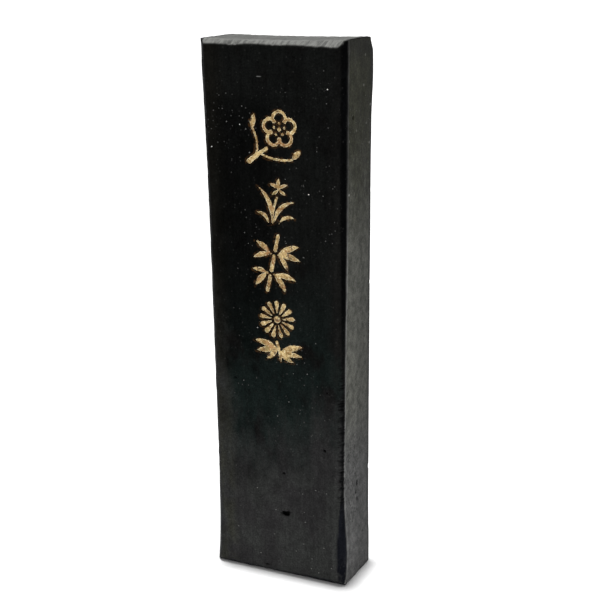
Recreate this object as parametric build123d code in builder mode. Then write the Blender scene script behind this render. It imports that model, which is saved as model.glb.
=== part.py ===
"""Ink stick: a pressed block of soot and glue with four gilded plant motifs sunk into its front.

The block stands on its foot, the end that is ground on an inkstone. Its frame has the origin at
the centre of the foot, +Z along the block, and -Y out of the decorated front. Both broad faces
have a 45 degree bevel all round, left by the mould's two plates. The sides and ends are square.
Each motif is a group of brush strokes pressed into the front, with a film of gold pigment on the
floor of every stroke. Each film is a separate solid that stops short of the front.
"""

import os

from build123d import *

# Driving dimensions, in millimetres.
block_height = 126.0
block_width = 34.8
block_depth = 16.0
bevel = 1.4
recess_depth = 0.55
gilt_thickness = 0.3

# Heights of the four motifs' centres above the foot. Each motif is 9 to 14 mm tall.
motif_x = 0.3
plum_height = 105.4
orchid_height = 91.2
bamboo_height = 77.3
chrysanthemum_height = 61.6

# Breadths of the thin and the thick brush lines, and the radius of the knot that leaves share.
thin_line = 0.6
thick_line = 0.8
knot_radius = 0.3


def front_plane(height, sunk=0.0):
    """The front face's plane, facing out, centred on a motif and sunk that far into the block."""
    return Plane(
        origin=(motif_x, -block_depth / 2 + sunk, height),
        x_dir=(1, 0, 0),
        z_dir=(0, -1, 0),
    )


def beside_chord(start, end, bow):
    """The point beside the middle of the chord from start to end, bow to its left."""
    chord = Vector(*end) - Vector(*start)
    left = Vector(-chord.Y, chord.X).normalized()
    return Vector(*start) + chord / 2 + left * bow


def blade(root, tip, bow, breadth):
    """A brush stroke that is pointed at both ends and bows to the left of its chord."""
    with BuildSketch() as stroke:
        with BuildLine():
            ThreePointArc(root, beside_chord(root, tip, bow + breadth / 2), tip)
            ThreePointArc(tip, beside_chord(root, tip, bow - breadth / 2), root)
        make_face()
    return stroke.sketch


def twig(start, end, start_radius, end_radius):
    """A straight brush stroke with round ends that narrows along its length."""
    with BuildSketch() as stroke:
        with Locations(start):
            Circle(start_radius)
        with Locations(end):
            Circle(end_radius)
        make_hull()
    return stroke.sketch


def ribbon(start, end, bow, breadth):
    """A bowed brush stroke of one breadth with round ends."""
    spine = ThreePointArc(start, beside_chord(start, end, bow), end)
    with BuildSketch() as stroke:
        SlotArc(spine, breadth)
    return stroke.sketch


def rosette(petal, centre, count):
    """Copies of a petal, drawn pointing along +X from the origin, turned round a centre."""
    with BuildSketch() as flower:
        with Locations(centre):
            with PolarLocations(0, count, start_angle=90):
                add(petal)
    return flower.sketch


def group(*strokes):
    """Several strokes as one sketch."""
    with BuildSketch() as joined:
        for stroke in strokes:
            add(stroke)
    return joined.sketch


def spray(root, *leaves):
    """Pointed leaves, each (tip, bow, breadth), that leave one root and join in a small knot."""
    with BuildSketch() as joined:
        with Locations(root):
            Circle(knot_radius)
        for tip, bow, breadth in leaves:
            add(blade(root, tip, bow, breadth))
    return joined.sketch


# Plum: one open blossom on a forked twig with two buds. Each petal is a line round a circle that
# is open towards the blossom's centre, where the stamens' dots are.
blossom_centre = (1.3, 1.7)
petal_count = 5
petal_orbit = 2.35
petal_radius = 1.5
petal_opening = 120.0
stamen_orbit = 1.3
stamen_radius = 0.34
pistil_radius = 0.5


def plum_petals():
    petal_line = CenterArc(
        (petal_orbit, 0), petal_radius, petal_opening / 2 - 180, 360 - petal_opening
    )
    with BuildSketch() as petal:
        SlotArc(petal_line, thick_line)
    return rosette(petal.sketch, blossom_centre, petal_count)


def plum_stamens():
    with BuildSketch() as stamens:
        with Locations(blossom_centre):
            Circle(pistil_radius)
            with PolarLocations(stamen_orbit, petal_count, start_angle=90):
                Circle(stamen_radius)
    return stamens.sketch


def plum_twig():
    return group(
        twig((-6.0, -5.5), (-3.9, -3.9), 0.62, 0.52),
        twig((-3.9, -3.9), (-1.75, -2.5), 0.52, 0.4),
        ribbon((-4.4, -4.2), (-5.2, 1.9), -0.7, thin_line),
        ribbon((-3.4, -3.7), (4.3, -4.7), -0.6, thin_line),
        blade((-5.3, 1.8), (-4.6, 5.0), 0.0, 1.5),
        blade((4.2, -4.7), (6.2, -2.6), 0.0, 1.4),
    )


# Orchid: four arching leaves from one root, and a flower with five narrow petals on a thin stalk.
orchid_flower_centre = (0.9, 2.9)


def orchid_leaves():
    return group(
        blade((-0.9, -5.0), (-4.3, 3.4), -1.35, 1.15),
        blade((-0.2, -5.0), (4.6, 0.2), 1.35, 1.1),
        blade((0.8, -5.0), (4.9, -3.6), 1.0, 0.9),
        blade((-1.6, -5.0), (-4.6, -2.5), -0.85, 0.9),
        ribbon((-0.6, -4.6), (0.5, 1.0), 0.35, thin_line),
    )


def orchid_flower():
    return spray(
        orchid_flower_centre,
        ((1.0, 5.2), 0.15, 0.95),
        ((3.1, 3.9), 0.2, 0.9),
        ((-1.3, 4.0), -0.2, 0.9),
        ((-0.9, 1.6), 0.15, 0.8),
        ((2.8, 1.7), -0.15, 0.8),
    )


# Bamboo: a leaning stalk in three lengths with a gap at each joint, and a spray of leaves on each
# side of both joints.
stalk_foot = Vector(-2.2, -6.3)
stalk_top = Vector(0.6, 6.3)
stalk_lengths = 3
stalk_radius = 0.52
stalk_taper = 0.9
joint_gap = 1.5


def bamboo_stalk():
    rise = stalk_top - stalk_foot
    pitch = (rise.length + joint_gap) / stalk_lengths
    lengths = []
    for i in range(stalk_lengths):
        low = stalk_foot + rise.normalized() * (i * pitch)
        high = low + rise.normalized() * (pitch - joint_gap)
        lengths.append(twig(low, high, stalk_radius, stalk_taper * stalk_radius))
    return group(*lengths)


def bamboo_leaves():
    return group(
        spray(
            (0.5, 2.0),
            ((5.8, 4.3), 0.35, 1.45),
            ((6.0, 0.9), 0.35, 1.45),
            ((2.9, -1.6), 0.3, 1.3),
        ),
        spray(
            (-1.2, 2.2),
            ((-5.0, 4.9), -0.25, 1.3),
            ((-5.6, 1.0), -0.3, 1.3),
        ),
        spray(
            (-0.45, -2.55),
            ((4.9, -3.7), 0.35, 1.45),
            ((2.2, -6.5), 0.3, 1.4),
        ),
        spray(
            (-2.15, -2.3),
            ((-5.9, -1.6), -0.25, 1.2),
            ((-5.2, -5.6), -0.3, 1.35),
        ),
    )


# Chrysanthemum: a round head of narrow petals about a solid heart, on a stem with two leaves of
# three lobes each.
head_centre = (0.0, 2.7)
head_petals = 13
petal_inner = 1.5
petal_outer = 3.85
petal_root_radius = 0.18
petal_tip_radius = 0.58
heart_radius = 0.85


def chrysanthemum_petals():
    petal = twig((petal_inner, 0), (petal_outer, 0), petal_root_radius, petal_tip_radius)
    return rosette(petal, head_centre, head_petals)


def chrysanthemum_heart():
    with BuildSketch() as heart:
        with Locations(head_centre):
            Circle(heart_radius)
    return heart.sketch


def chrysanthemum_leaves():
    return group(
        ribbon((-0.1, -2.7), (0.7, -6.8), 0.2, thick_line),
        spray(
            (0.1, -4.3),
            ((-5.8, -2.7), -0.3, 1.6),
            ((-5.3, -5.2), -0.1, 1.5),
            ((-2.9, -7.0), 0.15, 1.3),
        ),
        spray(
            (0.4, -5.3),
            ((6.3, -3.1), 0.3, 1.6),
            ((6.2, -5.5), 0.1, 1.4),
            ((4.2, -7.2), -0.1, 1.2),
        ),
    )


# Every gilt film by its node's name, with its motif's height and its outline.
gilding = {
    "plum_petals_gilt": (plum_height, plum_petals()),
    "plum_stamens_gilt": (plum_height, plum_stamens()),
    "plum_twig_gilt": (plum_height, plum_twig()),
    "orchid_leaves_gilt": (orchid_height, orchid_leaves()),
    "orchid_flower_gilt": (orchid_height, orchid_flower()),
    "bamboo_stalk_gilt": (bamboo_height, bamboo_stalk()),
    "bamboo_leaves_gilt": (bamboo_height, bamboo_leaves()),
    "chrysanthemum_petals_gilt": (chrysanthemum_height, chrysanthemum_petals()),
    "chrysanthemum_heart_gilt": (chrysanthemum_height, chrysanthemum_heart()),
    "chrysanthemum_leaves_gilt": (chrysanthemum_height, chrysanthemum_leaves()),
}

os.makedirs("parts", exist_ok=True)

# The pressed block, bevelled round its front and back, with every stroke's recess.
with BuildPart() as ink_block:
    Box(block_width, block_depth, block_height, align=(Align.CENTER, Align.CENTER, Align.MIN))
    front_and_back = ink_block.faces().filter_by(Axis.Y)
    chamfer(front_and_back.edges(), bevel)
    for motif_height, outline in gilding.values():
        with BuildSketch(front_plane(motif_height)):
            add(outline)
        extrude(amount=-recess_depth, mode=Mode.SUBTRACT)
ink_block.part.label = "ink_block"
export_step(ink_block.part, "parts/ink_block.step")

# The gold films, each standing on its recess's floor.
for name, (motif_height, outline) in gilding.items():
    with BuildPart() as film:
        with BuildSketch(front_plane(motif_height, sunk=recess_depth)):
            add(outline)
        extrude(amount=gilt_thickness)
    film.part.label = name
    export_step(film.part, f"parts/{name}.step")
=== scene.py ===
"""Looks of the ink stick: a block of pressed soot and glue, with gold paint in its sunk motifs.

Lengths are in millimetres, in the CAD frame, until a mesh is made: -Y is out of the front, and Z is
up from the foot. The block starts as the flat faces of a plain block of the frame's size, and each
gold film as its outline in the frame. Both are triangulated, then shaped by formulas.
"""

import itertools
import math
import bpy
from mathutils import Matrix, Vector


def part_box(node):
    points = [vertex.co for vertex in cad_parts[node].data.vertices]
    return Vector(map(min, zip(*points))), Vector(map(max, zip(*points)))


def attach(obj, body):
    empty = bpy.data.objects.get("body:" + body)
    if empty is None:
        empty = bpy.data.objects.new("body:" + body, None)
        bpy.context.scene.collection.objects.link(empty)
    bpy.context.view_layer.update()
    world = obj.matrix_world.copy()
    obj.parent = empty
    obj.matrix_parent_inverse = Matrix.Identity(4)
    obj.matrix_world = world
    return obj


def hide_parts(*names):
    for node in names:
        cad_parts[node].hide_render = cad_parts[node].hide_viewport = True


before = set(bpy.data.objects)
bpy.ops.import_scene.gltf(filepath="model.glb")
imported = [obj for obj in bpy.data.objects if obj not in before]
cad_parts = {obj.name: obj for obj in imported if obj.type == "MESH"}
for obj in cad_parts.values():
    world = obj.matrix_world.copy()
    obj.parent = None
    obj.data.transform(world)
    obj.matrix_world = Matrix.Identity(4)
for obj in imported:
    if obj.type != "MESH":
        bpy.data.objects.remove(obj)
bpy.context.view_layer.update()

from types import SimpleNamespace

import bmesh
import bpy
import numpy as np
from mathutils import Matrix, Vector
from mathutils.geometry import delaunay_2d_cdt

MM = 0.001

# Measures that the frame gives.
block_low, block_high = (np.array(corner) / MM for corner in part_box("ink_block"))
block_width, block_depth, block_height = block_high - block_low
half_width = block_width / 2
half_depth = block_depth / 2
gilt_nodes = sorted(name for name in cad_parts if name.endswith("_gilt"))
film_low, film_high = (np.array(corner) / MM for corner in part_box(gilt_nodes[0]))
recess_depth = half_depth + film_high[1]
film_thickness = film_high[1] - film_low[1]

# The CAD block's bevel, the left front bevel as worn, and how softly faces meet.
bevel = 1.4
left_bevel_width = 1.3
edge_softness = 0.045

# A recess's wall runs from its rim to its floor, at these distances outside its drawn outline. The
# paint's edge lies on the wall, and the paint is full thickness a short way inside its edge.
rim_offset = 0.06
floor_offset = -0.14
paint_edge = -0.04
paint_shoulder = 0.16
outline_wobble = 0.07

# The paint's underside lies this far inside the recess's drawn floor, about where wear leaves it.
paint_seat = 0.05

# The paint's thickness as a share of the CAD film's, and how much it varies over broad and fine lumps.
paint_share = 0.8
broad_lumps = 0.22
fine_lumps = 0.12

# Points this near the paint's edge are on it. Triangles whose middles aren't this far inside it are
# left out, and points of the paint that aren't on its rim count as being at least this far inside.
on_edge = 0.001
edge_slack = 0.004
least_inside = 0.01

# How far drying has drawn each side in, as (height, distance) up the block.
left_waist = (
    (0, 0.13), (4, 0.48), (13, 0.84), (26, 1.0), (52, 0.87),
    (88, 0.64), (105, 0.38), (116, 0.12), (126, 0),
)
right_front_waist = (
    (0, 0.7), (9, 0.66), (20, 0.92), (30, 0.91), (50, 0.76),
    (68, 0.62), (80, 0.55), (100, 0.5), (126, 0.3),
)
right_back_waist = (
    (0, 0.1), (6, 0.1), (13, 0.34), (30, 0.38),
    (82, 0.27), (99, 0.2), (117, 0.02), (126, 0.1),
)

# The right front bevel's width up the block, measured from the block's nominal corner.
right_bevel_width = (
    (0, 1.5), (3, 2.4), (6, 2.75), (10, 2.75), (14, 2.45),
    (20, 2.1), (45, 1.8), (58, 1.8), (80, 2.2), (126, 2.15),
)

# How each face is worn, as (mean depth, slow swells, quick ripples). A negative depth makes a bevel
# narrower than the CAD block's.
usual_wear = (0.03, 0.025, 0.006)
wear = {
    "front": (0.04, 0.04, 0),
    "back": (0.08, 0.06, 0.01),
    "right": (0.05, 0.03, 0.012),
    "left": (0.05, 0.03, 0.012),
    "top": (0.06, 0.03, 0),
    "foot": (0.02, 0.02, 0),
    "front_right": (0, 0, 0.05),
    "front_left": (0, 0, 0.08),
    "front_top": (0, 0, 0.05),
    "back_top": (-0.55, 0.06, 0.05),
    "front_foot": (-0.25, 0, 0.05),
}
swell_size = (9, 9, 14)
ripple_size = 1.7

# The top is hollow across its width, and shaved with marks along a slant from front to back.
top_dish = 0.28
shaving_depth = 0.05
shaving_size = (0.55, 3.2, 1)
slant = (0.8, 0.6)

# The top's front rim: how ragged it is, how deep the shaving marks cut it, and how much less worn
# its left half is.
rim_raggedness = 0.11
rim_shaving = 0.04
rim_left_gain = 0.22

# How much fuller the back right edge is high up, and how far it is cut in at the very top.
corner_fill = 0.55
corner_cut = 1.05

# How much deeper the foot's front bevel is cut at the right.
foot_slope = 0.2

# Crumbs broken from the long edges and from the ends' front and back edges: how many are on each,
# the least and greatest radius, the share of the radius that lies outside the worn edge, how far in
# that edge is from the nominal one, and how far crumbs keep from the edge's ends.
long_chips = 9
long_chip_radii = (0.5, 1.0)
long_chip_shares = (0.35, 0.75)
long_edge_inset = (1.2, 0.9)
long_chip_margin = 4
end_chips = 5
end_chip_radii = (0.4, 0.8)
end_chip_shares = (0.4, 0.75)
end_edge_inset = (0.3, 1.2)
end_chip_margin = 2

# Pits in the front: (x, height, half-length, half-height, depth).
front_pits = (
    (1.8, 16.4, 1.2, 0.62, 0.9),
    (2.5, 16.9, 0.9, 0.35, 0.3),
    (1.5, 26.8, 0.5, 0.3, 0.3),
    (11.9, 34.3, 0.4, 0.45, 0.35),
    (-3.2, 1.9, 0.7, 0.3, 0.3),
    (-10.6, 49.0, 0.6, 0.3, 0.22),
    (12.6, 48.5, 0.35, 0.35, 0.25),
)

# Pits in the right side: (y, height, half-length, half-height, depth).
right_pits = (
    (0.2, 23.8, 0.45, 0.9, 0.3),
    (-0.5, 21.6, 0.4, 0.9, 0.25),
    (0.1, 19.7, 0.4, 0.6, 0.25),
    (2.9, 9.9, 0.35, 0.35, 0.25),
    (-3.6, 109.7, 0.6, 0.6, 0.2),
    (-2.2, 36.5, 0.35, 0.5, 0.15),
)

# The largest of the pale specks in the front, as (x, height, half-length, brightness).
front_pale_specks = (
    (8.5, 93.5, 0.17, 0.8),
    (13.0, 116.0, 0.17, 0.7),
    (-14.8, 102.6, 0.17, 0.65),
    (-7.7, 107.8, 0.17, 0.55),
    (-4.5, 61.9, 0.16, 0.4),
    (4.8, 64.7, 0.15, 0.3),
    (-5.5, 101.8, 0.2, 0.18),
    (-10.9, 108.3, 0.16, 0.16),
    (-2.9, 118.2, 0.7, 0.1),
    (-7.2, 83.8, 0.2, 0.09),
    (6.9, 15.2, 0.25, 0.1),
    (9.6, 23.9, 0.25, 0.1),
    (13.5, 4.5, 0.2, 0.1),
    (9.9, 59.9, 0.18, 0.1),
)
pale_speck_radius = 0.16

# The largest of those in the right side, as (y, height, brightness).
side_pale_specks = (
    (-5.4, 93.5, 0.2),
    (-5.4, 105.0, 0.05),
    (5.5, 103.3, 0.1),
    (3.6, 107.8, 0.05),
    (-1.7, 106.8, 0.05),
    (5.7, 111.6, 0.1),
    (2.0, 116.1, 0.07),
    (2.8, 122.4, 0.05),
)
side_pale_speck_radius = 0.35


# --- Random and smooth values ---


def noise(points, size, seed):
    """Smooth random values from -1 to 1, with features about size across along X, Y and Z."""
    table = np.random.default_rng(seed).uniform(-1, 1, 4093)
    cells = points / np.broadcast_to(size, 3)
    corner = np.floor(cells).astype(np.int64)
    blend = cells - corner
    blend = blend * blend * (3 - 2 * blend)
    total = np.zeros(len(points))
    for step in itertools.product((0, 1), repeat=3):
        share = np.prod(np.where(step, blend, 1 - blend), axis=1)
        total += share * table[(corner + step) @ (73856093, 19349663, 83492791) % len(table)]
    return total


def smooth_step(values, start, end):
    """0 before start, 1 after end, and smooth between. Start may be above end."""
    t = np.clip((values - start) / (end - start), 0, 1)
    return t * t * (3 - 2 * t)


def follow(heights, stations):
    """Values that run smoothly through (height, value) stations."""
    places, values = np.array(stations, float).T
    slopes = np.gradient(values, places)
    i = np.clip(np.searchsorted(places, heights) - 1, 0, len(places) - 2)
    gap = places[i + 1] - places[i]
    t = np.clip((heights - places[i]) / gap, 0, 1)
    rise = values[i] * (1 + 2 * t) * (1 - t) ** 2 + values[i + 1] * t * t * (3 - 2 * t)
    return rise + gap * (slopes[i] * t * (1 - t) ** 2 - slopes[i + 1] * t * t * (1 - t))


# --- The motifs' outlines ---


def outline(node):
    """The edges (start, end) in X and Z of a film's front, from the frame's mesh."""
    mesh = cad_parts[node].data
    mesh.calc_loop_triangles()
    places = {}
    used = {}
    for triangle in mesh.loop_triangles:
        if triangle.normal.y > -0.9:
            continue
        keys = []
        for index in triangle.vertices:
            x, _, z = mesh.vertices[index].co / MM
            key = (round(x, 3), round(z, 3))
            places[key] = (x, z)
            keys.append(key)
        for a, b in zip(keys, keys[1:] + keys[:1]):
            used.setdefault(frozenset((a, b)), []).append((a, b))
    return np.array([[places[k] for k in found[0]] for found in used.values() if len(found) == 1])


outlines = {node: outline(node) for node in gilt_nodes}
far = 2.0


def signed_distance(node, flat_points):
    """Distances from a node's outline, negative inside. Points beyond far get far."""
    edges = outlines[node]
    low, high = edges.min(axis=(0, 1)) - far, edges.max(axis=(0, 1)) + far
    start_x, start_z = edges[:, 0].T
    run_x, run_z = (edges[:, 1] - edges[:, 0]).T
    scale = 1 / (run_x * run_x + run_z * run_z)
    lean = run_x / np.where(run_z == 0, 1, run_z)
    result = np.full(len(flat_points), far)
    near = np.flatnonzero(((flat_points > low) & (flat_points < high)).all(axis=1))
    for part in np.array_split(near, len(near) // 1000 + 1):
        from_x = flat_points[part, :1] - start_x
        from_z = flat_points[part, 1:] - start_z
        crosses = ((from_z < 0) != (from_z < run_z)) & (from_x < from_z * lean)
        inside = crosses.sum(axis=1) % 2 == 1
        t = np.clip((from_x * run_x + from_z * run_z) * scale, 0, 1)
        from_x -= t * run_x
        from_z -= t * run_z
        distance = np.sqrt((from_x * from_x + from_z * from_z).min(axis=1))
        result[part] = np.minimum(np.where(inside, -distance, distance), far)
    return result


def wobble(flat_points):
    """How far the mould's hand-cut edge strays from its drawn outline."""
    points = np.insert(flat_points, 1, 0, axis=1)
    return outline_wobble * (noise(points, 0.45, 11) + 0.7 * noise(points, 1.3, 12))


def motif_distance(flat_points):
    """Distances from the nearest motif's edge, negative inside."""
    nearest = np.min([signed_distance(node, flat_points) for node in gilt_nodes], axis=0)
    return nearest + wobble(flat_points)


def levels(heights):
    """Points on the block's axis, for noise that varies with height alone."""
    return np.stack([0 * heights, 0 * heights, heights], axis=1)


def recess(distance):
    """The depth of the front's recess at these distances from a motif's edge."""
    return recess_depth * smooth_step(distance, rim_offset, floor_offset)


# --- Triangulation ---

# A cell is split where the wanted spacing is under this share of its size. A point counts as being
# on a line when it is nearer than this share of its spacing.
split_share = 0.8
near_share = 0.45

# A distance field's slope is found over this step, and is never taken for less than flattest.
slope_step = 0.01
flattest = 0.3

# Points nearer than this are one point to the triangulation.
same_point = 1e-6


def lattice(low, high, wanted, coarse):
    """Points over a rectangle, spaced as closely as wanted(points) asks, and their spacings."""
    counts = np.maximum(1, np.round((high - low) / coarse)).astype(int)
    steps = (high - low) / counts
    cells = np.array(list(itertools.product(*(range(n) for n in counts)))) * steps + low + steps / 2
    spacing = steps.max()
    kept, spacings = [], []
    while len(cells):
        split = wanted(cells) < spacing * split_share
        kept.append(cells[~split])
        spacings.append(np.full((~split).sum(), spacing))
        quarter = steps / 4
        turns = itertools.product((-1, 1), repeat=2)
        cells = np.concatenate([cells[split] + quarter * turn for turn in turns])
        steps = steps / 2
        spacing /= 2
    return np.concatenate(kept), np.concatenate(spacings)


def graded(distance, finest, coarsest, clear, growth):
    """Spacings that are finest out to clear, and grow with the distance beyond it up to coarsest."""
    return np.clip(finest + growth * (distance - clear), finest, coarsest)


def snap(flat_points, spacings, distance, targets):
    """Moves points that are near a target distance onto it, along the distance's slope."""
    moved = flat_points.copy()
    for target in targets:
        gap = distance(moved) - target
        near = np.flatnonzero(np.abs(gap) < near_share * spacings)
        here = moved[near]
        ahead = np.stack([distance(here + slope_step * axis) for axis in np.eye(2)], axis=1)
        slope = (ahead - (gap[near] + target)[:, None]) / slope_step
        steepness = np.maximum((slope * slope).sum(axis=1, keepdims=True), flattest)
        moved[near] -= gap[near, None] * slope / steepness
    return moved


def triangulate(flat_points, rim_count=0):
    """Delaunay triangles over points. The first rim_count points are the region's rim, in order."""
    rim = [list(range(rim_count))] if rim_count else []
    vectors = [Vector(point) for point in flat_points]
    _, _, faces, sources, _, _ = delaunay_2d_cdt(vectors, [], rim, 1 if rim else 0, same_point)
    triangles = [[sources[i][0] for i in face] for face in faces if all(sources[i] for i in face)]
    return np.array(triangles)


def patch(corners, wanted, shape):
    """A flat face's points and triangles. Its edges are divided alike from both of their sides."""
    rim = []
    for a, b in zip(corners, np.roll(corners, -1, axis=0)):
        count = max(1, math.ceil(np.linalg.norm(b - a) / edge_spacing - same_point))
        rim.append(a + (b - a) * np.arange(count)[:, None] / count)
    rim = np.concatenate(rim)
    normal = np.cross(corners[1] - corners[0], corners[2] - corners[1])
    normal /= np.linalg.norm(normal)
    across = corners[1] - corners[0]
    across /= np.linalg.norm(across)
    axes = np.stack([across, np.cross(normal, across)])
    origin = corners[0]

    def lift(flat):
        return origin + flat @ axes

    flat_rim = (rim - origin) @ axes.T
    flat_corners = (corners - origin) @ axes.T
    inner, spacings = lattice(
        flat_rim.min(axis=0), flat_rim.max(axis=0), lambda flat: wanted(lift(flat)), coarse_spacing
    )
    for a, b in zip(flat_corners, np.roll(flat_corners, -1, axis=0)):
        inward = np.array([a[1] - b[1], b[0] - a[0]]) / np.linalg.norm(b - a)
        clear = (inner - a) @ inward > near_share * np.minimum(spacings, edge_spacing)
        inner, spacings = inner[clear], spacings[clear]
    points = shape(lift(inner), spacings)
    flat = np.concatenate([flat_rim, (points - origin) @ axes.T])
    return np.concatenate([rim, points]), triangulate(flat, len(rim))


# --- The block ---

# Spacings of the block's points.
coarser = 1
edge_spacing = 0.3 * coarser
coarse_spacing = 1.5 * coarser
near_edge_spacing = 0.35
top_spacing = 0.3
top_rim_spacing = 0.25
nick_spacing = 0.2
finest_spacing = 0.12
snapped_spacing = 0.11

# The carving starts from a block with this bevel. Its points are drawn in along a direction that
# blends the nearest faces' normals over this distance, in this many steps. Where the direction is
# oblique to the surface, no step is longer than the distance left over least_approach.
guide_bevel = 0.6
pull_blend = 0.8
carving_steps = 10
least_approach = 0.5

# A guide point nearer than this to a face's plane is on the face.
on_face = 0.01


def plane(x, y, z, cut=0.0):
    """A face's outward normal, and its nominal distance from the origin less a bevel's cut."""
    normal = np.array([x, y, z], float)
    corner = np.where(normal > 0, block_high, block_low) * (normal != 0)
    length = np.linalg.norm(normal)
    return normal / length, (normal @ corner - cut) / length


faces = {
    "front": plane(0, -1, 0),
    "back": plane(0, 1, 0),
    "right": plane(1, 0, 0),
    "left": plane(-1, 0, 0),
    "top": plane(0, 0, 1),
    "foot": plane(0, 0, -1),
    "front_right": plane(1, -1, 0),
    "front_left": plane(-1, -1, 0),
    "back_right": plane(1, 1, 0, bevel),
    "back_left": plane(-1, 1, 0, bevel),
    "front_top": plane(0, -1, 1, bevel),
    "back_top": plane(0, 1, 1, bevel),
    "front_foot": plane(0, -1, -1, bevel),
    "back_foot": plane(0, 1, -1, bevel),
}
face_names = list(faces)
face_normals = np.array([normal for normal, _ in faces.values()])
face_reaches = np.array([reach for _, reach in faces.values()])


def pit_depth(points, across, pits):
    """The depth of pits, each a ragged hollow. Across is the points' X or Y, as the pits have it."""
    total = np.zeros(len(points))
    raggedness = 0.22
    ragged = raggedness * noise(points, 0.5, 21)
    for place, height, half_length, half_height, depth in pits:
        away = np.hypot((across - place) / half_length, (points[:, 2] - height) / half_height)
        total = np.maximum(total, depth * smooth_step(away + ragged, 1.15, 0.35))
    return total


def nick_depth(heights):
    """How far short level nicks carry the right front bevel into the front, low on the block."""
    deepest = 0.3
    zone = smooth_step(heights, 16, 24) * smooth_step(heights, 60, 44)
    return deepest * zone * smooth_step(noise(levels(heights), 0.36, 32), -0.2, 0.6)


def cut_back(points):
    """How far inside its nominal place each face lies near each point, in the order of faces."""
    x, y, z = points.T
    depths = {}
    for i, name in enumerate(face_names):
        mean, swell, ripple = wear.get(name, usual_wear)
        slow = noise(points, swell_size, 40 + i)
        quick = noise(points, ripple_size, 60 + i)
        depths[name] = mean + swell * slow + ripple * quick

    # The front's recesses and pits.
    depths["front"] += recess(motif_distance(points[:, (0, 2)])) + pit_depth(points, x, front_pits)

    # The waisted sides. The right one's front and back edges differ.
    toward_front = smooth_step(y, half_depth, -half_depth)
    at_back = follow(z, right_back_waist) * (1 - toward_front)
    depths["right"] += at_back + follow(z, right_front_waist) * toward_front
    depths["right"] += pit_depth(points, y, right_pits)
    left = follow(z, left_waist)
    depths["left"] += left

    # The bevels.
    depths["front_right"] += follow(z, right_bevel_width) / math.sqrt(2)
    depths["front_right"] += nick_depth(z) * smooth_step(y + half_depth, 0.7, 0.1)
    depths["front_left"] += (left + left_bevel_width) / math.sqrt(2)
    depths["front_foot"] += foot_slope * smooth_step(x, -10, 17)
    depths["back_right"] += corner_cut * smooth_step(z, 122.5, 126)
    depths["back_right"] -= corner_fill * smooth_step(z, 108, 119)

    # The shaved top and its front rim.
    across = x * slant[0] + y * slant[1]
    along = y * slant[0] - x * slant[1]
    shaving = noise(np.stack([across, along, 0 * z], axis=1), shaving_size, 81)
    arch = np.cos(np.clip(x / half_width, -1, 1) * math.pi / 2)
    depths["top"] += top_dish * arch + shaving_depth * shaving
    depths["front_top"] += rim_raggedness * noise(points, 4.5, 80) + rim_shaving * shaving
    depths["front_top"] -= rim_left_gain * smooth_step(x, 12, -2)
    return np.array([depths[name] for name in face_names])


def chips():
    """Centres and radii of the crumbs broken from the block's edges."""
    random = np.random.default_rng(7)
    centres, radii = [], []
    for side_x, side_y in itertools.product((-1, 1), repeat=2):
        for _ in range(long_chips):
            radius = random.uniform(*long_chip_radii)
            out = radius * random.uniform(*long_chip_shares)
            height = random.uniform(long_chip_margin, block_height - long_chip_margin)
            x = side_x * (half_width - long_edge_inset[0] + out)
            y = side_y * (half_depth - long_edge_inset[1] + out)
            centres.append((x, y, height))
            radii.append(radius)
    for side_y, at_top in itertools.product((-1, 1), (False, True)):
        for _ in range(end_chips):
            radius = random.uniform(*end_chip_radii)
            out = radius * random.uniform(*end_chip_shares)
            x = random.uniform(end_chip_margin - half_width, half_width - end_chip_margin)
            y = side_y * (half_depth - end_edge_inset[0] + out)
            inset = end_edge_inset[1] - out
            centres.append((x, y, block_height - inset if at_top else inset))
            radii.append(radius)
    return np.array(centres), np.array(radii)


chip_centres, chip_radii = chips()


def carve(points):
    """Moves the guide block's points straight in to the worn surface.

    Also gives, by face, its share of each point, and how far each point lies behind its plane.
    """
    gaps = points @ face_normals.T - face_reaches
    pull = np.exp((gaps - gaps.max(axis=1, keepdims=True)) / pull_blend)
    inward = -pull @ face_normals
    inward /= np.linalg.norm(inward, axis=1, keepdims=True)
    depths = cut_back(points).T
    reached = points.copy()
    for _ in range(carving_steps):
        gaps = reached @ face_normals.T - face_reaches + depths
        peak = gaps.max(axis=1, keepdims=True)
        shares = np.exp((gaps - peak) / edge_softness)
        total = shares.sum(axis=1, keepdims=True)
        surface = (peak + edge_softness * np.log(total))[:, 0]
        shares /= total
        approach = np.maximum(-(inward * (shares @ face_normals)).sum(axis=1), least_approach)
        reached += inward * (surface / approach)[:, None]
    for centre, radius in zip(chip_centres, chip_radii):
        near = np.flatnonzero(np.linalg.norm(reached - centre, axis=1) < radius)
        away = reached[near] - centre
        along = (away * inward[near]).sum(axis=1)
        depth = np.sqrt(along * along + radius * radius - (away * away).sum(axis=1)) - along
        reached[near] += inward[near] * depth[:, None]
    behind = face_reaches - depths - reached @ face_normals.T
    return reached, dict(zip(face_names, shares.T)), dict(zip(face_names, behind.T))


def pit_detail(across, heights, pits):
    """The point spacing that pits need at points given by their X or Y and their height."""
    away = np.full(len(across), math.inf)
    for place, height, half_length, half_height, _ in pits:
        distance = np.hypot(across - place, heights - height) - max(half_length, half_height)
        away = np.minimum(away, distance)
    return graded(away, finest_spacing, coarse_spacing, clear=0.2, growth=0.4)


def front_detail(x, z):
    """The point spacing that the front's motifs, pits, nicks and top rim need."""
    from_motif = np.abs(motif_distance(np.stack([x, z], axis=1)))
    spacing = graded(from_motif, finest_spacing, coarse_spacing, clear=0.2, growth=0.5)
    spacing = np.minimum(spacing, pit_detail(x, z, front_pits))
    nicks = (x > half_width - 3.4) & (z > 18) & (z < 58)
    spacing = np.where(nicks, np.minimum(spacing, nick_spacing), spacing)
    return np.where(z > block_height - 2, np.minimum(spacing, top_rim_spacing), spacing)


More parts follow.
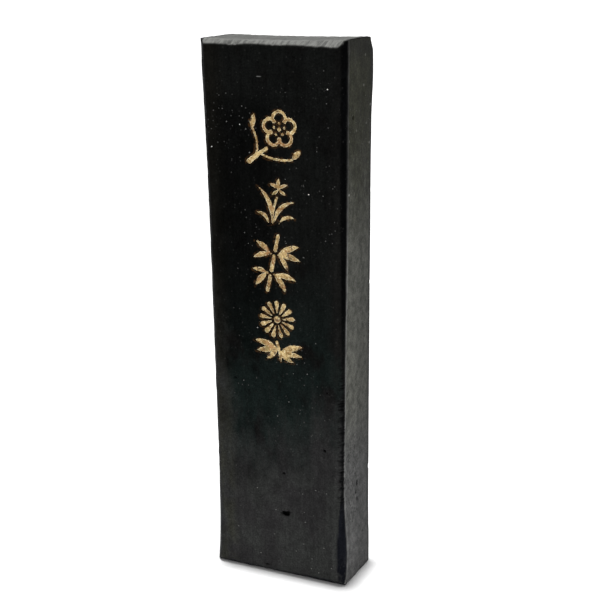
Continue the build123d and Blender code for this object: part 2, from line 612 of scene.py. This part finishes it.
def block_detail(points):
    """The point spacing that the block's surface needs at each point."""
    x, y, z = points.T
    gaps = np.sort(points @ face_normals[:6].T - face_reaches[:6], axis=1)
    from_edge = -gaps[:, -2]
    spacing = graded(from_edge, near_edge_spacing, coarse_spacing, clear=1.8, growth=0.3)
    front = y < -half_depth + on_face
    spacing[front] = np.minimum(spacing[front], front_detail(x[front], z[front]))
    right = x > half_width - on_face
    spacing[right] = np.minimum(spacing[right], pit_detail(y[right], z[right], right_pits))
    spacing[z > block_height - on_face] = top_spacing
    return spacing * coarser


def sharpen_motifs(points, spacings):
    """Lines the front's points up with the rims and floors of the recesses."""
    if points[:, 1].max() > -half_depth + on_face:
        return points
    spacings = np.minimum(spacings, snapped_spacing)
    flat = snap(points[:, (0, 2)], spacings, motif_distance, (rim_offset, floor_offset))
    return np.insert(flat, 1, points[:, 1], axis=1)


def guide_corners():
    """The corners of each flat face of the plain bevelled block that the carving starts from."""
    guide = bmesh.new()
    bmesh.ops.create_cube(guide, size=1)
    bmesh.ops.scale(guide, vec=(block_width, block_depth, block_height), verts=guide.verts)
    bmesh.ops.translate(guide, vec=(0, 0, block_height / 2), verts=guide.verts)
    broad = [face for face in guide.faces if abs(face.normal.y) > 0.9]
    edges = list({edge for face in broad for edge in face.edges})
    bmesh.ops.bevel(guide, geom=edges, offset=guide_bevel, segments=1, affect="EDGES")
    corners = [np.array([v.co for v in face.verts]) for face in guide.faces]
    guide.free()
    return corners


# --- Meshes into objects ---


def make_object(name, points, triangles, material, shares):
    """A smooth-shaded, welded object from points in millimetres, which stores shares at its points."""
    mesh = bpy.data.meshes.new(name)
    mesh.from_pydata((points * MM).tolist(), [], triangles.tolist())
    for share, values in shares.items():
        stored = mesh.attributes.new(share, "FLOAT", "POINT").data
        stored.foreach_set("value", values.astype(np.float32))
    made = bmesh.new()
    made.from_mesh(mesh)
    bmesh.ops.remove_doubles(made, verts=made.verts, dist=1e-4 * MM)
    bmesh.ops.dissolve_degenerate(made, edges=made.edges, dist=1e-5 * MM)
    bmesh.ops.recalc_face_normals(made, faces=made.faces)
    made.to_mesh(mesh)
    made.free()
    mesh.shade_smooth()
    mesh.materials.append(material)
    piece = bpy.data.objects.new(name, mesh)
    bpy.context.scene.collection.objects.link(piece)
    return piece


def bevel_darkness(heights, behind):
    """How black the right front bevel is, from 0 to 1.

    It is worn grey beside the front, and black from a line that is ragged halfway up the block.
    """
    across = behind["front"] / np.maximum(behind["front"] + behind["right"], 0.1)
    ragged = noise(levels(heights), 0.75, 33)
    ragged *= smooth_step(heights, 18, 26) * smooth_step(heights, 64, 50)
    start = 0.15 * smooth_step(heights, 12, 24) + 0.28 * ragged
    widening = 0.4 * smooth_step(heights, 16, 34) - 0.22 * smooth_step(heights, 50, 66)
    return np.clip((across - start) / (0.12 + widening), 0, 1)


def make_block(material):
    """The ink block with its recesses, worn edges, waisted sides and shaved top."""
    points, triangles, count = [], [], 0
    for corners in guide_corners():
        face_points, face_triangles = patch(corners, block_detail, sharpen_motifs)
        points.append(face_points)
        triangles.append(face_triangles + count)
        count += len(face_points)
    points = np.concatenate(points)
    carved, share, behind = carve(points)
    x, y, z = points.T
    on_front = y < -half_depth + on_face
    distance = np.full(len(points), far)
    distance[on_front] = motif_distance(points[on_front][:, (0, 2)])
    hollow = pit_depth(points, x, front_pits) * on_front
    hollow += pit_depth(points, y, right_pits) * (x > half_width - on_face)
    # The left front and foot bevels are painted black, as shade.
    shaded_bevels = 0.8 * (share["front_foot"] + share["front_left"])
    shares = {
        "hollow": hollow,
        "side_share": share["left"] + share["right"],
        "end_share": share["top"] + share["front_top"] + share["back_top"],
        "bevel_share": share["front_right"] * bevel_darkness(z, behind) + shaded_bevels,
        "past_bevel": np.minimum(behind["front_right"], behind["front_left"]),
        "motif_distance": distance,
    }
    return make_object("ink_block_body", carved, np.concatenate(triangles), material, shares)


def film_faces(flat, distance):
    """The paint's points and triangles within its edge, and which of the points are on its rim.

    Every side from rim to rim across the paint gets a point at its middle, so that it can bulge.
    """
    most_rounds = 8
    for _ in range(most_rounds):
        triangles = triangulate(flat)
        triangles = triangles[distance(flat[triangles].mean(axis=1)) < paint_edge - edge_slack]
        sides = np.sort(triangles[:, [[0, 1], [1, 2], [2, 0]]].reshape(-1, 2), axis=1)
        sides, uses = np.unique(sides, axis=0, return_counts=True)
        rim = np.zeros(len(flat), bool)
        rim[sides[uses == 1]] = True
        bridges = sides[(uses == 2) & rim[sides].all(axis=1)]
        if not len(bridges):
            break
        flat = np.concatenate([flat, flat[bridges].mean(axis=1)])
    return flat[:len(rim)], triangles[~rim[triangles].all(axis=1)], rim


def make_film(node, material):
    """One node's gold paint: it lies on its recess's floor and thins out on the walls."""

    def distance(flat):
        return signed_distance(node, flat) + wobble(flat)

    def spacing(flat):
        from_edge = np.abs(distance(flat) - paint_edge)
        return graded(from_edge, finest=0.1, coarsest=0.2, clear=0.2, growth=0.5)

    margin = 0.3
    low = outlines[node].min(axis=(0, 1)) - margin
    high = outlines[node].max(axis=(0, 1)) + margin
    flat, spacings = lattice(low, high, spacing, coarse=0.8)
    close = distance(flat) < paint_edge + margin / 2
    flat = snap(flat[close], spacings[close], distance, (paint_edge,))
    flat, triangles, rim = film_faces(flat[distance(flat) < paint_edge + on_edge], distance)

    # The upper and lower sheets meet at the rim's points.
    inside = np.maximum(paint_edge - distance(flat), np.where(rim, 0, least_inside))
    points = np.insert(flat, 1, 0, axis=1)
    floor = -half_depth + paint_seat + recess(paint_edge - inside)
    swell = 1 - (1 - np.clip(inside / paint_shoulder, 0, 1)) ** 2
    uneven = 1 + broad_lumps * noise(points, 0.5, 91) + fine_lumps * noise(points, 0.22, 92)
    top = np.where(rim, floor, floor - paint_share * film_thickness * swell * uneven)
    upper = np.stack([flat[:, 0], top, flat[:, 1]], axis=1)
    lower = np.stack([flat[:, 0], floor, flat[:, 1]], axis=1)
    under = np.arange(len(flat)) + len(flat)
    under[rim] = np.flatnonzero(rim)
    shell = np.concatenate([triangles, under[triangles][:, ::-1]])
    used, shell = np.unique(shell, return_inverse=True)
    points = np.concatenate([upper, lower])[used]
    shares = {"from_edge": np.concatenate([inside, 0 * inside])[used]}
    return make_object(node + "_paint", points, shell.reshape(-1, 3), material, shares)


# --- Materials ---


def add(tree, kind, inputs=None, **settings):
    """A shader node of this kind, with its settings, its input values and its links."""
    node = tree.nodes.new("ShaderNode" + kind)
    for key, value in settings.items():
        setattr(node, key, value)
    for key, value in (inputs or {}).items():
        if isinstance(value, bpy.types.NodeSocket):
            tree.links.new(value, node.inputs[key])
        else:
            node.inputs[key].default_value = value
    return node


def new_material(name):
    material = bpy.data.materials.new(name)
    material.use_nodes = True
    material.node_tree.nodes.clear()
    return material, material.node_tree


def end_material(tree, inputs):
    """Ends a material's nodes in one shader with these inputs."""
    shader = add(tree, "BsdfPrincipled", inputs)
    add(tree, "OutputMaterial", {"Surface": shader.outputs[0]})


def scaled_place(tree, size, turn=0.0):
    """The surface's own coordinates, turned about Z, in units of size millimetres along each axis."""
    place = add(tree, "TexCoord").outputs["Object"]
    turning = {"Vector": place, "Rotation": (0, 0, math.radians(turn))}
    turned = add(tree, "Mapping", turning).outputs["Vector"]
    scaling = {"Vector": turned, "Scale": [1 / (MM * s) for s in np.broadcast_to(size, 3)]}
    return add(tree, "Mapping", scaling).outputs["Vector"]


def cloud(tree, size, detail=3.0, roughness=0.55, turn=0.0):
    """Noise from 0 to 1 with features about size millimetres across."""
    place = scaled_place(tree, size, turn)
    inputs = {"Vector": place, "Scale": 1.0, "Detail": detail, "Roughness": roughness}
    return add(tree, "TexNoise", inputs).outputs["Fac"]


def tree_of(*values):
    """The node tree of the first of these values that is a socket."""
    return next(value.id_data for value in values if isinstance(value, bpy.types.NodeSocket))


def ramp(value, start, end, low=0.0, high=1.0):
    """Low before start, high after end, and smooth between."""
    inputs = {"Value": value, "From Min": start, "From Max": end, "To Min": low, "To Max": high}
    return add(tree_of(value), "MapRange", inputs, interpolation_type="SMOOTHSTEP").outputs["Result"]


def maths(operation, a, b):
    return add(tree_of(a, b), "Math", {0: a, 1: b}, operation=operation).outputs[0]


def times(first, *others):
    """The product of several values."""
    for other in others:
        first = maths("MULTIPLY", first, other)
    return first


def plus(first, *others):
    """The sum of several values."""
    for other in others:
        first = maths("ADD", first, other)
    return first


def mix(share, a, b):
    """Colour a where share is 0, and colour b where it is 1."""
    inputs = {0: share, 6: a, 7: b}
    return add(tree_of(share), "Mix", inputs, data_type="RGBA").outputs[2]


def tone(red, green, blue):
    return (red, green, blue, 1.0)


def scaled_tone(colour, factor):
    """A colour made brighter or darker by a factor."""
    inputs = {0: colour, "Scale": factor}
    return add(tree_of(colour), "VectorMath", inputs, operation="SCALE").outputs["Vector"]


def bumped(relief, deep):
    """A normal roughened by relief that is this many millimetres deep."""
    inputs = {"Height": relief, "Strength": 0.8, "Distance": deep * MM}
    return add(tree_of(relief), "Bump", inputs).outputs["Normal"]


def attribute(tree, name):
    """A value that the mesh stores at its points."""
    return add(tree, "Attribute", attribute_name=name).outputs["Fac"]


def specks(tree, spacing, radius, density):
    """Small round dots, 1 inside and 0 outside, about one to each spacing cube."""
    inputs = {"Vector": scaled_place(tree, spacing), "Scale": 1.0}
    cells = add(tree, "TexVoronoi", inputs)
    chance = add(tree, "SeparateColor", {"Color": cells.outputs["Color"]})
    size = times(chance.outputs[1], radius / spacing)
    dot = maths("LESS_THAN", cells.outputs["Distance"], size)
    return times(dot, maths("LESS_THAN", chance.outputs[0], density))


def large_pale_specks(tree):
    """How bright the large pale specks are, and 0 elsewhere."""
    through = 2.0
    spots = [
        ((x, -half_depth, height), (half_length, through, pale_speck_radius), brightness)
        for x, height, half_length, brightness in front_pale_specks
    ]
    spots += [
        ((half_width, y, height), (through, side_pale_speck_radius, side_pale_speck_radius), brightness)
        for y, height, brightness in side_pale_specks
    ]
    place = scaled_place(tree, 1)
    total = 0.0
    for centre, reach, brightness in spots:
        away = add(tree, "VectorMath", {0: place, 1: centre}, operation="SUBTRACT")
        away = add(tree, "VectorMath", {0: away.outputs[0], 1: reach}, operation="DIVIDE")
        length = add(tree, "VectorMath", {0: away.outputs[0]}, operation="LENGTH")
        spot = ramp(length.outputs["Value"], 1.0, 0.6, 0.0, brightness)
        total = maths("MAXIMUM", total, spot)
    return total


def ink_fields(tree):
    """Values that several of the ink's parts use: places, shares of faces and random patches."""
    ink = SimpleNamespace()
    place = scaled_place(tree, 1)
    ink.across, ink.depth, ink.height = add(tree, "SeparateXYZ", {0: place}).outputs
    ink.side = attribute(tree, "side_share")
    ink.end = attribute(tree, "end_share")
    ink.bevel = attribute(tree, "bevel_share")
    ink.past_bevel = attribute(tree, "past_bevel")
    ink.streaks = cloud(tree, (0.7, 0.7, 11), 4, 0.6)
    ink.mottle = cloud(tree, (4, 4, 7), 6, 0.6)
    ink.blotch = cloud(tree, (1.3, 1.3, 1.6), 6, 0.75)
    ink.drift = cloud(tree, (8, 8, 12), 3, 0.6)
    ink.fine = cloud(tree, 0.42, 3, 0.7)
    ink.grain = cloud(tree, (1.9, 1.9, 2.3), 6, 0.66)
    ink.hatch = cloud(tree, (0.7, 5, 3), 5, 0.7, turn=24)
    ink.patchy = times(
        ramp(ink.blotch, 0.34, 0.66, 0.82, 1.18),
        ramp(ink.fine, 0.3, 0.7, 0.7, 1.3),
        ramp(ink.streaks, 0.3, 0.7, 0.88, 1.12),
        ramp(ink.drift, 0.35, 0.65, 0.85, 1.15),
    )

    # The place across and the height, made to wander, so that zones end raggedly. Zones that end at
    # a height reach higher beside the left edge.
    ink.sideways = plus(ink.across, ramp(ink.mottle, 0.25, 0.75, -1, 1))
    ink.ragged = plus(
        ink.height,
        ramp(ink.mottle, 0.25, 0.75, -6, 6),
        ramp(ink.streaks, 0.25, 0.75, -4, 4),
        ramp(ink.sideways, -13.5, -15.5, 0, -12),
    )

    # The blackest part of the moulded faces: left of the middle, between the foot's grey and the top.
    ink.deep = times(
        ramp(ink.sideways, 5, -4),
        ramp(ink.sideways, -16, -11),
        ramp(ink.ragged, 50, 64),
        ramp(ink.height, 120, 108),
        maths("SUBTRACT", 1, ink.bevel),
    )

    # How far a point of the top lies past a slanting line near its right end.
    ink.past_slant = maths("SUBTRACT", ink.across, ramp(ink.depth, -6, -2, 17.0, 16.0))
    return ink


def foot_grey(ink, colour):
    """A moulded face's colour, grey low down: partly dust, partly a painted reflection of the floor.

    The grey reaches highest along the left edge, where it is olive, and next highest along the right.
    """
    wander = plus(ink.sideways, ramp(ink.height, 36, 54, 0, 1))
    left_strip = ramp(wander, -10, -12.5)
    right_strip = ramp(ink.sideways, 7.5, 9.5)
    middle = ramp(plus(ink.ragged, ramp(ink.sideways, 3, -5, 0, 4)), 50, 16)
    share = mix(left_strip, middle, ramp(ink.ragged, 76, 6))
    share = mix(right_strip, share, ramp(ink.ragged, 56, 30))
    warm, cool = tone(0.0246, 0.024, 0.0245), tone(0.0242, 0.0252, 0.0242)
    grey = mix(ramp(ink.drift, 0.4, 0.6), warm, cool)
    grey = scaled_tone(grey, ramp(ink.across, 0, 12, 1.0, 0.84))
    olive = times(left_strip, ramp(ink.mottle, 0.35, 0.6))
    grey = mix(olive, grey, tone(0.026, 0.0262, 0.0208))
    return mix(share, colour, grey)


def bevel_tone(ink):
    """The bevels' black, bluish near the foot, with dust at the very foot."""
    # On the left front and foot bevels this black is painted shade.
    high, low = tone(0.001, 0.0011, 0.0014), tone(0.0042, 0.0043, 0.0046)
    colour = mix(ramp(ink.height, 76, 38), high, low)
    colour = mix(ramp(ink.height, 24, 17), colour, tone(0.0052, 0.0058, 0.0085))
    dusty = times(ramp(ink.height, 9, 3), ramp(ink.blotch, 0.48, 0.6))
    return mix(dusty, colour, tone(0.019, 0.0195, 0.0195))


def scratched(tree, ink, colour):
    """A moulded face's colour with fine level scratches beside the right front bevel."""
    share = times(
        ramp(cloud(tree, (5, 5, 0.28), 2, 0.5), 0.5, 0.4),
        ramp(ink.across, half_width - 2.9, half_width - 2),
        ramp(ink.height, 66, 50),
        ramp(ink.height, 17, 23),
        ramp(cloud(tree, (4, 4, 1.7), 2), 0.42, 0.56, 0.15, 1.0),
        0.85,
    )
    return mix(share, colour, tone(0.001, 0.001, 0.001))


def moulded_tone(tree, ink):
    """The front, the back and the bevels: black, then green black, and greyed low down."""
    green = times(ramp(ink.height, 22, 34), ramp(ink.height, 86, 44, 0.12, 1.0), ramp(ink.drift, 0.36, 0.5))
    colour = mix(ink.fine, tone(0.0006, 0.0006, 0.0005), tone(0.003, 0.003, 0.0026))
    colour = mix(green, colour, tone(0.0024, 0.006, 0.0052))
    colour = mix(ramp(ink.across, -10, -15), colour, tone(0.0022, 0.002, 0.001))
    colour = foot_grey(ink, colour)

    # Beside the right front bevel the colour is even above the grey, and a little paler all the way.
    above_grey = times(ramp(ink.sideways, 12, 15.5), ramp(ink.ragged, 46, 60))
    high, low = tone(0.0022, 0.0022, 0.002), tone(0.0042, 0.0042, 0.0038)
    edge_tone = mix(ramp(ink.height, 105, 90), high, low)
    colour = mix(above_grey, colour, edge_tone)
    near_bevel = times(ramp(ink.past_bevel, 1.0, 0.3), ramp(ink.across, 0, 5))
    colour = scaled_tone(colour, ramp(near_bevel, 0, 1, 1.0, 1.22))

    colour = scaled_tone(colour, ramp(ink.deep, 0, 1, 1.0, 0.5))
    colour = mix(ink.bevel, colour, bevel_tone(ink))
    colour = scaled_tone(colour, ink.patchy)
    return scratched(tree, ink, colour)


def side_tone(tree, ink):
    """The sides: dark olive near the top, then grey, mottled, with dark pores.

    Their worn front edge has a painted highlight; painted shade darkens them to a black back edge.
    """
    spread = ramp(ink.grain, 0.3, 0.7)
    colour = mix(spread, tone(0.028, 0.0287, 0.0235), tone(0.081, 0.0823, 0.0705))
    neutral = mix(spread, tone(0.031, 0.031, 0.0305), tone(0.077, 0.077, 0.0755))
    colour = mix(ramp(ink.height, 48, 26), colour, neutral)
    wander = plus(ink.height, ramp(ink.mottle, 0.2, 0.8, -8, 8))
    high_up = ramp(wander, 74, 108)
    dark_olive, pale_olive = tone(0.0085, 0.0088, 0.004), tone(0.0198, 0.0206, 0.0114)
    high_tone = mix(ramp(ink.grain, 0.34, 0.66), dark_olive, pale_olive)
    colour = mix(high_up, colour, high_tone)

    # Pores all over, and smaller ones that crowd the front half low down.
    pores = times(ramp(cloud(tree, (0.7, 0.7, 1.3), 3), 0.38, 0.28), 0.75)
    colour = mix(pores, colour, tone(0.01, 0.01, 0.009))
    pocked = times(
        ramp(ink.height, 42, 34),
        ramp(ink.height, 11, 17),
        ramp(ink.depth, 3, -1),
        ramp(cloud(tree, (0.55, 0.55, 0.75), 3, 0.6), 0.52, 0.36, 0.0, 0.75),
    )
    colour = mix(pocked, colour, tone(0.012, 0.012, 0.012))

    # Painted shade: paler to the front, darker to the back and at the very top, with fine mottling.
    front_gain = ramp(ink.height, 50, 76, 1.34, 1.2)
    painted_shade_and_mottle = times(
        ramp(ink.depth, -3.5, 2.5, front_gain, 0.84),
        ramp(ink.depth, 5.2, 6.0, 1.0, 0.62),
        ramp(ink.height, 120, 124.5, 1.0, 0.45),
        ramp(ink.fine, 0.3, 0.7, 0.68, 1.32),
    )
    colour = scaled_tone(colour, painted_shade_and_mottle)
    # A painted highlight along the worn front edge, brightest low down.
    pale = scaled_tone(neutral, ramp(high_up, 0, 1, 2.7, 0.8))
    colour = mix(ramp(ink.past_bevel, 0.5, 0.2, 0.0, 0.8), colour, pale)
    # Painted shade: a black line along the back edge.
    ragged_depth = plus(ink.depth, ramp(ink.blotch, 0.2, 0.8, -0.4, 0.4))
    back_edge_shade = times(ramp(ragged_depth, 5.7, 6.3), 0.85)
    return mix(back_edge_shade, colour, tone(0.004, 0.004, 0.004))


def end_tone(ink):
    """The top: shaved, with slanting marks, a pale front rim and black left and right ends."""
    dark, pale = tone(0.05, 0.051, 0.048), tone(0.155, 0.157, 0.147)
    colour = mix(ramp(ink.hatch, 0.36, 0.64), dark, pale)
    rim = times(ramp(ink.depth, -4.6, -6.4), ramp(ink.hatch, 0.4, 0.6, 0.3, 0.85))
    colour = mix(rim, colour, tone(0.21, 0.212, 0.2))
    # Past a slanting line near the right end the top is painted dark, as shade.
    colour = scaled_tone(colour, ramp(ink.past_slant, -1.3, 0.1, 1.0, 0.1))
    wander = plus(ink.across, ramp(ink.blotch, 0.2, 0.8, -0.4, 0.4))
    return mix(ramp(wander, -16.2, -16.8), colour, tone(0.005, 0.005, 0.005))


def with_pale_specks(tree, ink, colour):
    """The ink's colour with pale specks: dim ones in drifts, clearer ones, and a few large ones."""
    upper = times(ramp(ink.height, 74, 84, 0.3, 1.0), ramp(ink.height, 122, 114, 0.2, 1.0))
    lower = times(ramp(ink.height, 58, 52), ramp(ink.height, 22, 34, 1.6, 1.0))
    amount = times(
        ramp(cloud(tree, (5, 5, 8), 2), 0.45, 0.58),
        maths("MAXIMUM", upper, lower),
        ramp(maths("MAXIMUM", ink.end, ink.bevel), 0.1, 0.5, 1.0, 0.25),
        ramp(ink.side, 0.1, 0.5, 1.0, 0.9),
    )
    faint = times(specks(tree, 1.0, 0.2, 0.9), 0.17)
    colour = mix(faint, colour, tone(0.05, 0.05, 0.048))
    dim = times(specks(tree, 0.8, 0.17, 0.85), amount)
    colour = mix(dim, colour, tone(0.044, 0.044, 0.042))
    clear = times(specks(tree, 1.9, 0.19, 0.8), amount)
    clear_tone = mix(ink.side, tone(0.12, 0.12, 0.115), tone(0.19, 0.19, 0.18))
    colour = mix(clear, colour, clear_tone)
    return mix(large_pale_specks(tree), colour, tone(0.95, 0.95, 0.92))


def ink_sheen(ink):
    """How strongly the ink reflects: slightly on moulded faces and sides, and most on the top."""
    moulded = times(
        ramp(ink.bevel, 0, 1, 0.04, 0.015),
        ink.patchy,
        ramp(ink.deep, 0, 1, 1.0, 0.55),
        maths("SUBTRACT", 1, ink.end),
    )
    side = times(ink.side, ramp(ink.height, 78, 112, 0.05, 0.02))
    # The top reflects nothing past that slanting line, which keeps its painted shade dark.
    end = times(ink.end, ramp(ink.past_slant, 0.0, -1.3), 0.12)
    return maths("MAXIMUM", moulded, maths("MAXIMUM", side, end))


def ink_relief(ink):
    """The ink's finest roughness: streaks and fine grain, coarser on the sides and the top."""
    side = times(ink.grain, ink.side)
    end = times(ink.hatch, ink.end, 2.5)
    return plus(ink.streaks, times(ink.fine, 0.6), side, end)


def ink_material():
    """Dry soot and glue: black on moulded faces, grey and dull where it was cut or handled."""
    material, tree = new_material("pressed_ink")
    ink = ink_fields(tree)
    colour = mix(ink.side, moulded_tone(tree, ink), side_tone(tree, ink))
    colour = mix(ink.end, colour, end_tone(ink))
    # Pits are painted near black, as shade in their hollows.
    pit_shade = ramp(attribute(tree, "hollow"), 0.02, 0.35)
    colour = mix(pit_shade, colour, tone(0.0005, 0.0005, 0.0005))

    # Gold has stained the ink beside each motif.
    near_gold = ramp(attribute(tree, "motif_distance"), 0.5, 0.0)
    stain = times(near_gold, ramp(cloud(tree, 0.6, 3), 0.42, 0.64, 0.0, 0.8))
    colour = mix(stain, colour, tone(0.075, 0.035, 0.011))

    colour = with_pale_specks(tree, ink, colour)
    dull = maths("MAXIMUM", times(ink.side, 0.55), times(ink.end, 0.62))
    inputs = {
        "Base Color": colour,
        "Roughness": maths("MAXIMUM", ramp(ink.mottle, 0.3, 0.7, 0.42, 0.58), dull),
        "Specular IOR Level": ink_sheen(ink),
        "Normal": bumped(ink_relief(ink), 0.04),
    }
    end_material(tree, inputs)
    return material


def gold_material():
    """Gold powder in glue: ochre inside, painted highlights at its edges, and rubbed to brown in places."""
    material, tree = new_material("gold_pigment")
    mottle = cloud(tree, 0.9, 5, 0.7)
    ochre, pale = tone(0.31, 0.18, 0.055), tone(0.7, 0.52, 0.235)
    colour = mix(ramp(mottle, 0.38, 0.6), ochre, pale)
    reddish = ramp(cloud(tree, 2.2, 4, 0.65), 0.5, 0.62, 0.0, 0.8)
    colour = mix(reddish, colour, tone(0.36, 0.17, 0.055))
    olive = ramp(cloud(tree, 2.8, 3, 0.6), 0.58, 0.66, 0.0, 0.6)
    colour = mix(olive, colour, tone(0.22, 0.18, 0.05))
    # A painted highlight, pale cream, along the paint's edges.
    near_edge = ramp(attribute(tree, "from_edge"), 0.2, 0.08)
    edge = times(near_edge, ramp(cloud(tree, 0.8, 3), 0.38, 0.55), 0.85)
    colour = mix(edge, colour, tone(1.0, 0.87, 0.55))
    # Painted glints: small bright highlights scattered over the paint.
    painted_glints = times(ramp(cloud(tree, 0.45, 3), 0.58, 0.7), 0.85)
    colour = mix(painted_glints, colour, tone(1.0, 0.9, 0.64))
    rubbed = ramp(cloud(tree, 1.0, 5, 0.7), 0.57, 0.65)
    colour = mix(rubbed, colour, tone(0.08, 0.038, 0.012))
    inputs = {
        "Base Color": colour,
        "Metallic": ramp(rubbed, 0, 1, 0.35, 0.0),
        "Roughness": ramp(mottle, 0.3, 0.7, 0.65, 0.45),
        "Normal": bumped(plus(cloud(tree, 0.25, 4, 0.7), mottle), 0.09),
    }
    end_material(tree, inputs)
    return material


def floor_material():
    """Matte white card."""
    material, tree = new_material("white_card")
    fibre = cloud(tree, 0.8, 4)
    inputs = {
        "Base Color": mix(fibre, tone(0.88, 0.88, 0.88), tone(0.92, 0.92, 0.92)),
        "Roughness": ramp(fibre, 0.2, 0.8, 0.75, 0.9),
        "Specular IOR Level": 0.2,
    }
    end_material(tree, inputs)
    return material


# --- The stage ---

# The camera looks from the right and a little above. Its distance, and how far right and up its aim
# is from the block's middle, are in block heights, and so is the floor's reach.
view_azimuth = math.radians(24.52)
view_elevation = math.radians(16.65)
view_roll = math.radians(-0.672)
view_distance = 2.1013
view_aim = (0.01803, 0.02834)
lens = 68.65
sensor_width = 36

# White walls and a dimmer ceiling all round, and one distant light from almost straight overhead.
wall_brightness = 1.0
ceiling_brightness = 0.5
overhead_direction = (0.014, -0.009, -1)
overhead_spread = math.radians(2.2)
overhead_strength = 3.1
floor_reach = 60


def make_camera():
    back = Vector((
        math.sin(view_azimuth) * math.cos(view_elevation),
        -math.cos(view_azimuth) * math.cos(view_elevation),
        math.sin(view_elevation),
    ))
    level = Vector((math.cos(view_azimuth), math.sin(view_azimuth), 0))
    upright = back.cross(level)
    right = level * math.cos(view_roll) + upright * math.sin(view_roll)
    up = upright * math.cos(view_roll) - level * math.sin(view_roll)
    middle = Vector((0, 0, 0.5))
    place = middle + back * view_distance + right * view_aim[0] + up * view_aim[1]
    camera = bpy.data.objects.new("camera", bpy.data.cameras.new("camera"))
    camera.data.lens = lens
    camera.data.sensor_width = sensor_width
    camera.data.clip_start = 0.01
    turn = Matrix((right, up, back)).transposed().to_4x4()
    camera.matrix_world = Matrix.Translation(place * block_height * MM) @ turn
    bpy.context.scene.collection.objects.link(camera)
    bpy.context.scene.camera = camera


def make_light():
    """A distant light, a little softer than the sun."""
    light = bpy.data.objects.new("overhead", bpy.data.lights.new("overhead", "SUN"))
    light.data.angle = overhead_spread
    light.data.energy = overhead_strength
    light.matrix_world = Vector(overhead_direction).to_track_quat("-Z", "Y").to_matrix().to_4x4()
    bpy.context.scene.collection.objects.link(light)


def make_world():
    """White light from all round, brighter from the walls than from the ceiling."""
    world = bpy.data.worlds.new("studio")
    world.use_nodes = True
    tree = world.node_tree
    tree.nodes.clear()
    direction = add(tree, "TexCoord").outputs["Generated"]
    up = add(tree, "SeparateXYZ", {0: direction}).outputs[2]
    strength = ramp(up, 0.1, 0.3, wall_brightness, ceiling_brightness)
    shader = add(tree, "Background", {"Color": tone(1, 1, 1), "Strength": strength})
    add(tree, "OutputWorld", {"Surface": shader.outputs[0]})
    bpy.context.scene.world = world


def make_floor(material):
    reach = floor_reach * block_height * MM
    corners = [(-reach, -reach, 0), (reach, -reach, 0), (reach, reach, 0), (-reach, reach, 0)]
    mesh = bpy.data.meshes.new("floor")
    mesh.from_pydata(corners, [], [(0, 1, 2, 3)])
    mesh.materials.append(material)
    floor = bpy.data.objects.new("floor", mesh)
    bpy.context.scene.collection.objects.link(floor)


make_camera()
make_world()
make_floor(floor_material())
make_light()
bpy.context.scene.view_settings.view_transform = "Standard"

block = make_block(ink_material())
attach(block, "root")
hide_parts("ink_block")

gold = gold_material()
for gilt_node in gilt_nodes:
    film = make_film(gilt_node, gold)
    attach(film, "root")
    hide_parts(gilt_node)
